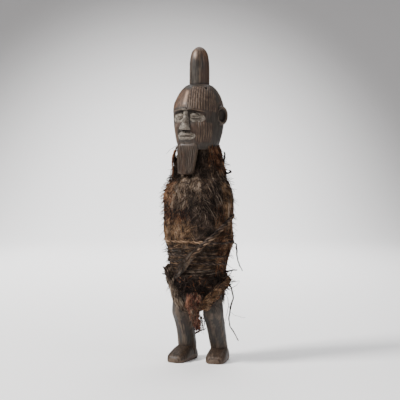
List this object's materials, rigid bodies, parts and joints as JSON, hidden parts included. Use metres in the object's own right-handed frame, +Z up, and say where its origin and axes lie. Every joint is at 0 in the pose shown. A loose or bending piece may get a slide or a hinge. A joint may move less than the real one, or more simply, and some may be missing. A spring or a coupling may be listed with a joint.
{
  "type": "carved standing figure",
  "caption": "Carved wooden standing figure with tall crest, grooved beard and bent legs, its body wrapped in matted palm fibre bound with cord; stands on its own feet",
  "frame": {"origin": "on the floor, under the middle of the whole object's box", "axes": "+Z up along the height; the figure faces -Y; its left hand side is +X"},
  "size_m": [0.1298, 0.1074, 0.5],
  "materials": {
    "dark_patinated_wood": "old dark patina, worn smooth and slightly shiny on the high places",
    "matted_palm_fibre": "dry matted brown plant fibre",
    "twisted_bark_cord": "dry ochre-brown twisted bark",
    "reddened_fibre": "dry fibre reddened with camwood powder",
    "dry_rootlet": "dry dark rootlet"
  },
  "bodies": {
    "root": {"carved_figure": "dark_patinated_wood", "fibre_wrapping": "matted_palm_fibre", "neck_wrapping": "matted_palm_fibre", "waist_cord": "twisted_bark_cord", "belly_cord": "twisted_bark_cord", "slanting_band": "twisted_bark_cord", "hip_rope": "twisted_bark_cord", "loin_tassel": "reddened_fibre", "long_strand": "dry_rootlet", "waist_strand": "dry_rootlet", "hip_twig": "dry_rootlet"}
  },
  "joints": []
}
